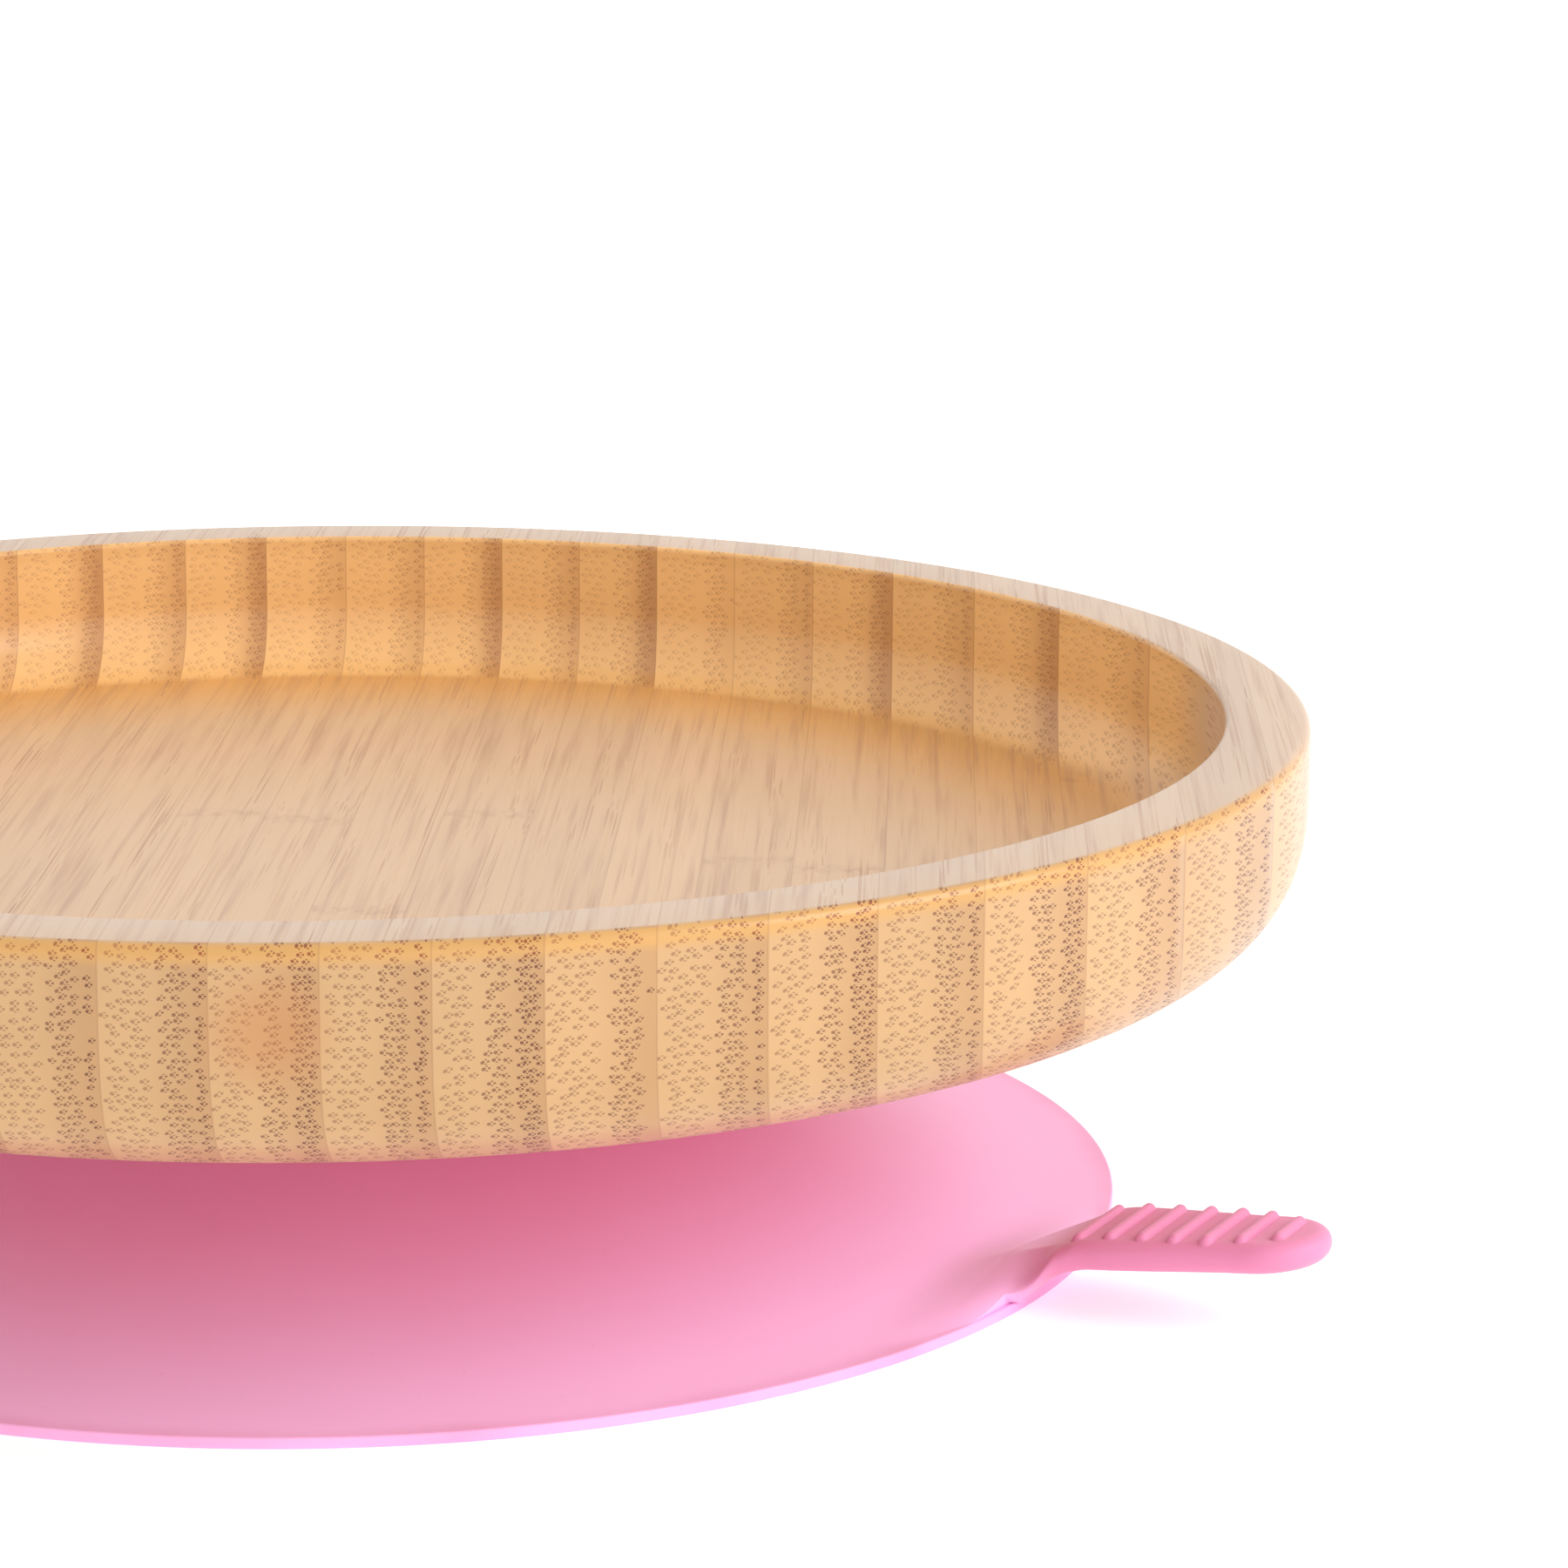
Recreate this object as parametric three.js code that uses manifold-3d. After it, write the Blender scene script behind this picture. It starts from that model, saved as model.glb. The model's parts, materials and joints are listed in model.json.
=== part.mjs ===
// Bamboo suction bowl: a turned bowl of glued bamboo strips on a silicone suction base.
// Millimetres, +Z up. The origin is the centre of the base, on the table.
// The strips run along Y, and the glue joints are planes of constant X.
import * as THREE from 'three';
import { mergeVertices } from 'three/addons/utils/BufferGeometryUtils.js';
import Module from 'manifold-3d';

const wasm = await Module();
wasm.setup();

// Bowl
const BOWL_RADIUS = 90;
const RIM_WIDTH = 7.75;
const RIM_TOP = 46.25;
const RIM_ROUNDING = 0.75;
const STRAIGHT_WALL = 5;
const UNDERSIDE = 24.75;
const UNDERSIDE_RADIUS = 64.25;
const SIDE_FULLNESS = 3;
const CAVITY_DEPTH = 14;
const CAVITY_FILLET = 7;
const FOOT_RADIUS = 22;
const FOOT_BOTTOM = 16;
const FOOT_CHAMFER = 1;

// Glued strips
const STRIP_WIDTH = 8.375;
const MIDDLE_JOINT_X = 1.25;
const JOINTS_EACH_SIDE = 10;

// Silicone base
const LIP_RADIUS = 73;
const LIP_HEIGHT = 1;
const LIP_FLAT = 7;
const NECK_RADIUS = 29.5;
const DOME_TOP = 21;
const DOME_FLARE = 2.1;
const NECK_WALL = 3.5;
const SEAL_BEVEL = 3;
const PIECE_GAP = 0.3;
const SOCKET_CLEARANCE = 0.25;
const HUB_FLOOR = 2.25;

// Pull tab, along its own radial line. It ramps up from the dome, and then rises gently to its tip.
const TAB_AZIMUTH = THREE.MathUtils.degToRad(-24);
const TAB_TIP = 98.5;
const TAB_HALF_WIDTH = 6.5;
const TAB_TIP_HALF_WIDTH = 5.5;
const TAB_THICKNESS = 2.75;
const TAB_RISE = 0.1;
const RAMP_START = 63;
const RAMP_END = 78;
const RAMP_END_TOP = 7;
const TOP_AT_LIP = 5;
const UNDERCUT_END = 79;
const ROOT_LEAN = 0.7;
const FLARE_RADIUS = 11;
const ROOT_HALF_WIDTH = 9.5;
const RIB_COUNT = 7;
const RIB_START = 77.3;
const RIB_PITCH = 2.9;
const RIB_RADIUS = 0.5;
const RIB_HALF_LENGTH = 4.6;
const LAST_RIB_HALF_LENGTH = 2.6;

// Fineness of the round shapes
const ROUND_STEPS = 72;
const CURVE_STEPS = 6;
const RIB_CAP_STEPS = 3;
const RIB_ROUND_STEPS = 8;
const WELD_DISTANCE = 1e-5;

// Colours. Neighbouring strips differ a little in tone.
const BAMBOO_COLOR = 0xdcb27c;
const BAMBOO_ROUGHNESS = 0.45;
const STRIP_TONES = [0.94, 0.97, 1];
const SILICONE_COLOR = 0xf7a3c6;
const SILICONE_ROUGHNESS = 0.55;

const bamboo = (tone) => new THREE.MeshStandardMaterial({
  color: new THREE.Color(BAMBOO_COLOR).multiplyScalar(tone),
  roughness: BAMBOO_ROUGHNESS,
  metalness: 0,
});
const silicone = () => new THREE.MeshStandardMaterial({
  color: SILICONE_COLOR,
  roughness: SILICONE_ROUGHNESS,
  metalness: 0,
});

// Solids: a closed geometry becomes a manifold for the cuts and joins, and comes back as a geometry.

function toSolid(geometry) {
  const bare = geometry.clone();
  bare.deleteAttribute('normal');
  bare.deleteAttribute('uv');
  const welded = mergeVertices(bare, WELD_DISTANCE);
  return new wasm.Manifold(new wasm.Mesh({
    numProp: 3,
    vertProperties: new Float32Array(welded.attributes.position.array),
    triVerts: new Uint32Array(welded.index.array),
  }));
}

function toGeometry(solid) {
  const mesh = solid.getMesh();
  const geometry = new THREE.BufferGeometry();
  geometry.setAttribute('position', new THREE.BufferAttribute(mesh.vertProperties, 3));
  geometry.setIndex(new THREE.BufferAttribute(mesh.triVerts, 1));
  return geometry;
}

function turned(profile) {
  const geometry = new THREE.LatheGeometry(profile.map(([r, z]) => new THREE.Vector2(r, z)), ROUND_STEPS);
  return geometry.rotateX(Math.PI / 2);
}

// Points of an arc round (r, z), from one angle to another, in radians.
function arc(r, z, radius, from, to) {
  return Array.from({ length: CURVE_STEPS + 1 }, (_, i) => {
    const angle = from + ((to - from) * i) / CURVE_STEPS;
    return [r + radius * Math.cos(angle), z + radius * Math.sin(angle)];
  });
}

// The bowl's side below the straight wall: a full quarter curve that tucks in under the bowl.
function sideCurve() {
  const width = BOWL_RADIUS - UNDERSIDE_RADIUS;
  const height = RIM_TOP - STRAIGHT_WALL - UNDERSIDE;
  return Array.from({ length: CURVE_STEPS + 1 }, (_, i) => {
    const angle = (Math.PI / 2) * (i / CURVE_STEPS);
    const across = Math.sin(angle) ** (2 / SIDE_FULLNESS);
    const down = Math.cos(angle) ** (2 / SIDE_FULLNESS);
    return [UNDERSIDE_RADIUS + width * across, UNDERSIDE + height * (1 - down)];
  });
}

function bowlBlank() {
  const inner = BOWL_RADIUS - RIM_WIDTH;
  const floor = RIM_TOP - CAVITY_DEPTH;
  return turned([
    [0, FOOT_BOTTOM],
    [FOOT_RADIUS - FOOT_CHAMFER, FOOT_BOTTOM],
    [FOOT_RADIUS, FOOT_BOTTOM + FOOT_CHAMFER],
    [FOOT_RADIUS, UNDERSIDE],
    ...sideCurve(),
    [BOWL_RADIUS, RIM_TOP - RIM_ROUNDING],
    [BOWL_RADIUS - RIM_ROUNDING, RIM_TOP],
    [inner + RIM_ROUNDING, RIM_TOP],
    [inner, RIM_TOP - RIM_ROUNDING],
    ...arc(inner - CAVITY_FILLET, floor + CAVITY_FILLET, CAVITY_FILLET, 0, -Math.PI / 2),
    [0, floor],
  ]);
}

// One strip of the bowl: the blank between two glue planes.
function staveGeometry(blank, left, right) {
  const slab = new THREE.BoxGeometry(right - left, 4 * BOWL_RADIUS, 4 * RIM_TOP);
  slab.translate((left + right) / 2, 0, 0);
  return toGeometry(blank.intersect(toSolid(slab)));
}

function addStaves(bowl) {
  const blank = toSolid(bowlBlank());
  const joints = [];
  for (let i = -JOINTS_EACH_SIDE; i <= JOINTS_EACH_SIDE; i += 1) {
    joints.push(MIDDLE_JOINT_X + i * STRIP_WIDTH);
  }
  const edges = [-BOWL_RADIUS - STRIP_WIDTH, ...joints, BOWL_RADIUS + STRIP_WIDTH];
  for (let i = 0; i + 1 < edges.length; i += 1) {
    const tone = STRIP_TONES[i % STRIP_TONES.length];
    const stave = new THREE.Mesh(staveGeometry(blank, edges[i], edges[i + 1]), bamboo(tone));
    stave.name = `stave_${String(i + 1).padStart(2, '0')}`;
    bowl.add(stave);
  }
}

// Height of the dome's outer surface: flat at the lip, steeper towards the neck.
function domeHeight(r) {
  const inward = (LIP_RADIUS - r) / (LIP_RADIUS - NECK_RADIUS);
  return LIP_HEIGHT + (DOME_TOP - LIP_HEIGHT) * inward ** DOME_FLARE;
}

// Height of the hollow under the dome: the wall is as thin as the lip at the rim, and thick at the neck.
function hollowHeight(r) {
  const inward = (LIP_RADIUS - r) / (LIP_RADIUS - NECK_RADIUS);
  return domeHeight(r) - LIP_HEIGHT - (NECK_WALL - LIP_HEIGHT) * inward;
}

// Profile points of a height function between two radii.
function curveOf(height, from, to) {
  const steps = 2 * CURVE_STEPS;
  return Array.from({ length: steps + 1 }, (_, i) => {
    const r = from + ((to - from) * i) / steps;
    return [r, height(r)];
  });
}

// Half the tab's width at a distance out: it flares into the dome, and narrows a little to the tip.
function tabHalfWidth(distance) {
  if (distance < UNDERCUT_END) {
    const into = Math.min((UNDERCUT_END - distance) / FLARE_RADIUS, 1);
    return Math.min(TAB_HALF_WIDTH + FLARE_RADIUS * (1 - Math.sqrt(1 - into * into)), ROOT_HALF_WIDTH);
  }
  const along = (distance - UNDERCUT_END) / (TAB_TIP - TAB_TIP_HALF_WIDTH - UNDERCUT_END);
  return TAB_HALF_WIDTH + (TAB_TIP_HALF_WIDTH - TAB_HALF_WIDTH) * along;
}

// The tab's outline seen from above, from a distance out to the round end.
function tabOutline(from) {
  const roundEnd = TAB_TIP - TAB_TIP_HALF_WIDTH;
  const shape = new THREE.Shape();
  const stations = [0, 0.25, 0.5, 0.75, 1].map((part) => from + part * (UNDERCUT_END - from));
  shape.moveTo(from, -tabHalfWidth(from));
  stations.slice(1).forEach((at) => shape.lineTo(at, -tabHalfWidth(at)));
  shape.lineTo(roundEnd, -TAB_TIP_HALF_WIDTH);
  shape.absarc(roundEnd, 0, TAB_TIP_HALF_WIDTH, -Math.PI / 2, Math.PI / 2, false);
  stations.reverse().forEach((at) => shape.lineTo(at, tabHalfWidth(at)));
  return shape;
}

// A side view, extruded across the tab, cut to the outline seen from above.
function tabSolid(sideView, from) {
  const across = 3 * FLARE_RADIUS;
  const side = new THREE.ExtrudeGeometry(sideView, { depth: across, bevelEnabled: false });
  side.translate(0, 0, -across / 2).rotateX(Math.PI / 2);
  const plan = new THREE.ExtrudeGeometry(tabOutline(from), {
    depth: DOME_TOP,
    bevelEnabled: false,
    curveSegments: 2 * CURVE_STEPS,
  });
  return toSolid(side).intersect(toSolid(plan));
}

function turnToAzimuth(solid) {
  return toGeometry(solid).rotateZ(TAB_AZIMUTH);
}

// The root of the tab: a ramp out of the dome that ends in a wall above the lip.
function tabRoot() {
  const sideView = new THREE.Shape();
  const beyondLip = LIP_RADIUS + LIP_HEIGHT;
  sideView.moveTo(RAMP_START, LIP_HEIGHT / 2);
  sideView.lineTo(beyondLip, LIP_HEIGHT / 2);
  sideView.lineTo(beyondLip, TOP_AT_LIP);
  sideView.lineTo(LIP_RADIUS, TOP_AT_LIP);
  sideView.lineTo(RAMP_START, domeHeight(RAMP_START));
  const ramp = toSolid(turnToAzimuth(tabSolid(sideView, RAMP_START)));
  const lipCylinder = turned([[0, 0], [LIP_RADIUS, 0], [LIP_RADIUS, DOME_TOP], [0, DOME_TOP]]);
  return ramp.intersect(toSolid(lipCylinder));
}

// The flared skirt: flat under the lip, hollow inside, open in the middle for the hub.
function suctionSkirt() {
  const bore = NECK_RADIUS + PIECE_GAP;
  const outside = turned([
    [0, 0],
    [LIP_RADIUS, 0],
    ...curveOf(domeHeight, LIP_RADIUS, bore),
    [0, domeHeight(bore)],
  ]);
  const sealInner = LIP_RADIUS - LIP_FLAT;
  const hollow = turned([
    [0, -LIP_HEIGHT],
    [sealInner, -LIP_HEIGHT],
    [sealInner, 0],
    ...curveOf(hollowHeight, sealInner - SEAL_BEVEL, bore),
    [bore, 2 * DOME_TOP],
    [0, 2 * DOME_TOP],
  ]);
  return toGeometry(toSolid(outside).add(tabRoot()).subtract(toSolid(hollow)));
}

// The thick middle of the base, with the socket that the bowl's foot is pressed into.
function collarHub() {
  const socket = FOOT_RADIUS + SOCKET_CLEARANCE;
  const socketFloor = FOOT_BOTTOM - SOCKET_CLEARANCE;
  return turned([
    [0, socketFloor - HUB_FLOOR],
    [NECK_RADIUS, socketFloor - HUB_FLOOR],
    [NECK_RADIUS, UNDERSIDE],
    [socket, UNDERSIDE],
    [socket, socketFloor],
    [0, socketFloor],
  ]);
}

// A raised rib across the tab's top, with round ends, at a distance out from the base's centre.
function rib(distance, halfLength) {
  const top = RAMP_END_TOP + TAB_RISE * (distance - RAMP_END);
  const capsule = new THREE.CapsuleGeometry(RIB_RADIUS, 2 * halfLength, RIB_CAP_STEPS, RIB_ROUND_STEPS);
  return toSolid(capsule.translate(distance, 0, top));
}

// The tab outside the lip. Its root leans outwards, to clear the skirt when the tab bends down.
function pullTab() {
  const root = LIP_RADIUS + PIECE_GAP;
  const tipTop = RAMP_END_TOP + TAB_RISE * (TAB_TIP - RAMP_END);
  const sideView = new THREE.Shape();
  sideView.moveTo(root + ROOT_LEAN, LIP_HEIGHT);
  sideView.lineTo(UNDERCUT_END, RAMP_END_TOP + TAB_RISE - TAB_THICKNESS);
  sideView.lineTo(TAB_TIP, tipTop - TAB_THICKNESS);
  sideView.lineTo(TAB_TIP, tipTop);
  sideView.lineTo(RAMP_END, RAMP_END_TOP);
  sideView.lineTo(root, TOP_AT_LIP);
  let tab = tabSolid(sideView, root);
  for (let i = 0; i < RIB_COUNT; i += 1) {
    const halfLength = i === RIB_COUNT - 1 ? LAST_RIB_HALF_LENGTH : RIB_HALF_LENGTH;
    tab = tab.add(rib(RIB_START + i * RIB_PITCH, halfLength));
  }
  return turnToAzimuth(tab);
}

function addBase(base) {
  const pieces = { suction_skirt: suctionSkirt(), collar_hub: collarHub(), pull_tab: pullTab() };
  for (const [name, geometry] of Object.entries(pieces)) {
    const piece = new THREE.Mesh(geometry, silicone());
    piece.name = name;
    base.add(piece);
  }
}

const bowl = new THREE.Group();
addStaves(bowl);
const base = new THREE.Group();
addBase(base);
const suctionBowl = new THREE.Group();
suctionBowl.add(bowl, base);

export default suctionBowl;
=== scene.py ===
"""Looks of the bamboo suction bowl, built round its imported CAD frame. Metres, +Z up.

The bamboo strips run along Y and meet at planes of constant X. The pull tab has its own radial line.
"""
import json
import math
import random
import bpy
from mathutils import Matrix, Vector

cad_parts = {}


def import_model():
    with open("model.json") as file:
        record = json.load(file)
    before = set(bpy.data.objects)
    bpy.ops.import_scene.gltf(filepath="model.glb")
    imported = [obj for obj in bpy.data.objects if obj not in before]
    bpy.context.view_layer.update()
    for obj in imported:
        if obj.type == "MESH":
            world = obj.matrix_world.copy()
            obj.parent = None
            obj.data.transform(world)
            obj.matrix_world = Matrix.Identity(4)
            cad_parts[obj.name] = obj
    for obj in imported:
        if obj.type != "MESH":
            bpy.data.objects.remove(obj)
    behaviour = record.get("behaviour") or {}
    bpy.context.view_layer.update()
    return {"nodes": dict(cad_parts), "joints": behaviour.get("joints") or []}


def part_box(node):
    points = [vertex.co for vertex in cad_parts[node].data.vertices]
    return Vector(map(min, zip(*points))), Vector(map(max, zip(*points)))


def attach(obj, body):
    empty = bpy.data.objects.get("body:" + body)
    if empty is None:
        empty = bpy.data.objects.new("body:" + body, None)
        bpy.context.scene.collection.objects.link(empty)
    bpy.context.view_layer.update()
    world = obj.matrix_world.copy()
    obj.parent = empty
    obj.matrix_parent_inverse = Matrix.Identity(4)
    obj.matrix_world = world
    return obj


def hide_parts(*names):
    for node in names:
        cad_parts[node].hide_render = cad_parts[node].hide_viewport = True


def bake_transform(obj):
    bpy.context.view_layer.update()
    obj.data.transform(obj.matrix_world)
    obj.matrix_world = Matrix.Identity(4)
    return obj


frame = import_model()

from types import SimpleNamespace

import bmesh
import bpy
import numpy as np
from mathutils import Matrix, Vector

MM = 0.001


def node_box(*names):
    """The lowest and highest corners of some CAD nodes together."""
    boxes = [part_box(name) for name in names]
    low = Vector(min(box[0][i] for box in boxes) for i in range(3))
    high = Vector(max(box[1][i] for box in boxes) for i in range(3))
    return low, high


# Sizes that the frame gives
STAVES = sorted(name for name in frame["nodes"] if name.startswith("stave_"))
BOWL_LOW, BOWL_HIGH = node_box(*STAVES)
SKIRT_LOW, SKIRT_HIGH = node_box("suction_skirt")
HUB_LOW, HUB_HIGH = node_box("collar_hub")
BOWL_RADIUS = BOWL_HIGH.y
RIM_TOP = BOWL_HIGH.z
UNDERSIDE = HUB_HIGH.z
FOOT_BOTTOM = BOWL_LOW.z
LIP_RADIUS = -SKIRT_LOW.x
NECK_RADIUS = HUB_HIGH.x
HUB_BOTTOM = HUB_LOW.z
MIDDLE_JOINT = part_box("stave_11")[1].x
STRIP_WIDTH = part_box("stave_12")[1].x - MIDDLE_JOINT
TAB_HINGE = Vector(next(joint for joint in frame["joints"] if joint["name"] == "tab_bend")["pos_m"])
TAB_AZIMUTH = math.atan2(TAB_HINGE.y, TAB_HINGE.x)

# Bowl section
RIM_WIDTH = 7.75 * MM
RIM_OUTER_ROUNDING = 1.0 * MM
RIM_INNER_ROUNDING = 0.5 * MM
STRAIGHT_WALL = 5 * MM
UNDERSIDE_RADIUS = 64.25 * MM
SIDE_FULLNESS = 3
CAVITY_DEPTH = 14 * MM
CAVITY_FILLET = 7 * MM
FOOT_RADIUS = 22 * MM
FOOT_CHAMFER = 1 * MM

# Silicone section
LIP_HEIGHT = 1 * MM
LIP_FLAT = 7 * MM
LIP_ROUNDING = 0.22 * MM
DOME_TOP = 21 * MM
DOME_FLARE = 2.1
NECK_WALL = 3.5 * MM
NECK_FILLET = 2.5 * MM
NECK_FILLET_TURN = 46
COLLAR_ROUNDING = 0.6 * MM
HUB_ROUNDING = 1 * MM
SEAL_BEVEL = 3 * MM
SOCKET_CLEARANCE = 0.25 * MM

# Pull tab, with distances along its radial line. Its root is a ridge on the skirt, with hollow flanks
TAB_START = 57 * MM
TAB_TIP = 98.5 * MM
TAB_HALF_WIDTH = 6.5 * MM
TAB_TIP_RADIUS = 5.5 * MM
TAB_THICKNESS = 2.75 * MM
TAB_EDGE = 1.6 * MM
TAB_EDGE_FULLNESS = 2.2
TAB_TOP = 7 * MM
TAB_RISE = 0.1
RAMP_END = 78 * MM
RAMP_SLOPE = 0.43
RAMP_BLEND = 1.2 * MM
RAMP_END_BLEND = 0.5 * MM
ROOT_FADE = 6 * MM
ROOT_SPREAD = 24 * MM
ROOT_SPREAD_FROM = 66 * MM
ROOT_SPREAD_END = 76 * MM
ROOT_SPREAD_SLOPE = 0.8
ROOT_HOLLOW = 1.9
ROOT_HOLLOW_FROM = 62 * MM
ROOT_HOLLOW_END = 74 * MM
ROOT_EDGE_FROM = 72 * MM
ROOT_END = 76 * MM
RIDGE_SPLIT = 69 * MM
FLARE_END = 79 * MM
FLARE_RADIUS = 11 * MM
UNDERCUT_CURVE = 2.2
SINK = 0.004 * MM
BURIED = 0.45 * MM
RIB_COUNT = 7
RIB_START = 77.3 * MM
RIB_PITCH = 2.93 * MM
RIB_RADIUS = 0.6 * MM
RIB_HEIGHT = 0.58 * MM
RIB_ROUNDNESS = 0.55
RIB_HALF_LENGTH = 4.5 * MM
LAST_RIB_HALF_LENGTHS = (3.8 * MM, 2.55 * MM)

# Stage: world brightness, the floor, softboxes (azimuth, elevation, distance, size, power), camera
WORLD_STRENGTH = 1.05
FLOOR_HALF = 6
FLOOR_GLOW = 0.35
SOFTBOXES = {"key": (-15, 30, 1.3, 0.8, 9), "fill": (-60, 6, 1.4, 1.0, 2)}
CAMERA_PLACE = Vector((0.0549, -0.4723, 0.14685))
CAMERA_LENS = 121.25
CAMERA_YAW = 1.55
CAMERA_PITCH = -12.91
CAMERA_ROLL = 0.36

# Mesh fineness, and the angles in degrees above which edges stay sharp
ROUND_STEPS = 288
CURVE_STEPS = 16
DOME_STEPS = 96
TAB_STEP = 0.09 * MM
TAB_TIP_STEPS = 40
TAB_ACROSS_STEPS = 96
BAMBOO_SHARP = 35
SILICONE_SHARP = 40
TAB_SHARP = 60

# Strips, by number: those with a dark edge, and where some show a growth node, in metres along Y
DENSE_STRIPS = {7, 9, 12, 14, 17, 19}
GROWTH_NODES = {10: 0.012, 11: 0.010, 12: -0.024, 13: 0.013, 16: -0.004, 17: -0.007, 6: -0.035, 20: 0.031}
ANY_DENSITY = 0.6
ANY_NODE = 0.3

# Bamboo, in millimetres. A layer of bundles has a spacing and a size, each across and up, and a strength
SPARSE_BUNDLES = ((1.15, 0.70), (0.78, 0.50), 0.55)
MEDIUM_BUNDLES = ((0.92, 0.62), (0.70, 0.48), 0.8)
DENSE_BUNDLES = ((0.76, 0.54), (0.62, 0.44), 1.0)
BUNDLE_RANDOMNESS = 0.42
BUNDLE_STAGGER = 0.5
MEDIUM_FROM = 0.56
DENSE_FROM = 0.92
STRIP_OFFSET = 13.7
FLOOR_TOP = (RIM_TOP - CAVITY_DEPTH) / MM
RIM_BAND_LOW = RIM_TOP / MM - 2.1
RIM_BAND_HIGH = RIM_TOP / MM - 0.9
GLUE_FROM = 0.488
GLUE_TO = 0.497
STAIN_PLACE = (5.6, -89.0, 39.5)
STAIN_RADIUS = 6.5

# Silicone, in millimetres from the axis: where the deeper pink painted shade at the neck ends, where the paler
# painted light on the lip is full, and the span over which the tab's darker painted shade comes in
NECK_SHADE_UNTIL = 38.0
LIP_LIGHT_FROM = 68.0
TAB_SHADE_START = 70.0
TAB_SHADE_FULL = 77.0


# ---------------------------------------------------------------- meshes

def new_object(name, mesh):
    piece = bpy.data.objects.new(name, mesh)
    bpy.context.scene.collection.objects.link(piece)
    return piece


def arc(r, z, radius, start, end, steps=CURVE_STEPS):
    """Points of an arc round (r, z), from one angle to another in degrees."""
    angles = np.radians(np.linspace(start, end, steps + 1))
    return [(r + radius * math.cos(a), z + radius * math.sin(a)) for a in angles]


def turned(profile, steps=ROUND_STEPS):
    """A closed bmesh turned round Z. The profile's ends lie on the axis."""
    body = bmesh.new()
    rings = []
    for r, z in profile:
        if r == 0:
            rings.append([body.verts.new((0, 0, z))] * steps)
            continue
        angles = [2 * math.pi * i / steps for i in range(steps)]
        rings.append([body.verts.new((r * math.cos(a), r * math.sin(a), z)) for a in angles])
    for below, above in zip(rings, rings[1:]):
        for i in range(steps):
            j = (i + 1) % steps
            corners = dict.fromkeys((below[i], below[j], above[j], above[i]))
            if len(corners) > 2:
                body.faces.new(corners)
    bmesh.ops.recalc_face_normals(body, faces=body.faces)
    return body


def to_mesh(body, name, sharp_angle):
    """Turns a bmesh into a smooth-shaded mesh whose edges above an angle in degrees stay sharp."""
    mesh = bpy.data.meshes.new(name)
    body.to_mesh(mesh)
    body.free()
    mesh.shade_smooth()
    mesh.set_sharp_from_angle(angle=math.radians(sharp_angle))
    return mesh


# ---------------------------------------------------------------- bowl

def bowl_side():
    """The bowl's side below the straight wall: a full quarter curve that tucks in under the bowl."""
    width = BOWL_RADIUS - UNDERSIDE_RADIUS
    height = RIM_TOP - STRAIGHT_WALL - UNDERSIDE
    points = []
    for angle in np.linspace(0, math.pi / 2, 2 * CURVE_STEPS + 1):
        across = math.sin(angle) ** (2 / SIDE_FULLNESS)
        down = math.cos(angle) ** (2 / SIDE_FULLNESS)
        points.append((UNDERSIDE_RADIUS + width * across, UNDERSIDE + height * (1 - down)))
    return points


def bowl_profile():
    inner = BOWL_RADIUS - RIM_WIDTH
    floor = RIM_TOP - CAVITY_DEPTH
    outer_r = BOWL_RADIUS - RIM_OUTER_ROUNDING
    inner_r = inner + RIM_INNER_ROUNDING
    return [
        (0, FOOT_BOTTOM),
        *arc(FOOT_RADIUS - FOOT_CHAMFER, FOOT_BOTTOM + FOOT_CHAMFER, FOOT_CHAMFER, -90, 0, 4),
        (FOOT_RADIUS, UNDERSIDE),
        *bowl_side(),
        *arc(outer_r, RIM_TOP - RIM_OUTER_ROUNDING, RIM_OUTER_ROUNDING, 0, 90, 8),
        *arc(inner_r, RIM_TOP - RIM_INNER_ROUNDING, RIM_INNER_ROUNDING, 90, 180, 6),
        *arc(inner - CAVITY_FILLET, floor + CAVITY_FILLET, CAVITY_FILLET, 0, -90),
        (0, floor),
    ]


def cut_at(body, x, keep):
    """Cuts a body at a plane of constant X and caps it. keep, +1 or -1, is the side that stays."""
    geometry = [*body.verts, *body.edges, *body.faces]
    cut = bmesh.ops.bisect_plane(
        body, geom=geometry, plane_co=(x, 0, 0), plane_no=(keep, 0, 0), clear_inner=True
    )["geom_cut"]
    edges = [item for item in cut if isinstance(item, bmesh.types.BMEdge)]
    bmesh.ops.edgeloop_fill(body, edges=edges)


def strip_character(number):
    """A strip's tone, how far its dense fibre side spreads, and where its growth node crosses it."""
    draw = random.Random(number)
    tone = draw.uniform(-1, 1)
    dense = 1.0 if number in DENSE_STRIPS else draw.uniform(0, ANY_DENSITY)
    growth_node = GROWTH_NODES.get(number, draw.uniform(-ANY_NODE, ANY_NODE))
    return tone, dense, growth_node


def bamboo_strips(material):
    blank = turned(bowl_profile())
    for number, node in enumerate(STAVES, start=1):
        body = blank.copy()
        left = MIDDLE_JOINT + (number - 12) * STRIP_WIDTH
        if number > 1:
            cut_at(body, left, 1)
        if number < len(STAVES):
            cut_at(body, left + STRIP_WIDTH, -1)
        bmesh.ops.recalc_face_normals(body, faces=body.faces)
        mesh = to_mesh(body, f"bamboo_strip_{number:02d}", BAMBOO_SHARP)
        attribute = mesh.attributes.new("strip", "FLOAT_VECTOR", "POINT")
        attribute.data.foreach_set("vector", strip_character(number) * len(mesh.vertices))
        mesh.materials.append(material)
        piece = new_object(mesh.name, mesh)
        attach(piece, "bowl")
        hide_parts(node)
    blank.free()


# ---------------------------------------------------------------- silicone base

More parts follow.
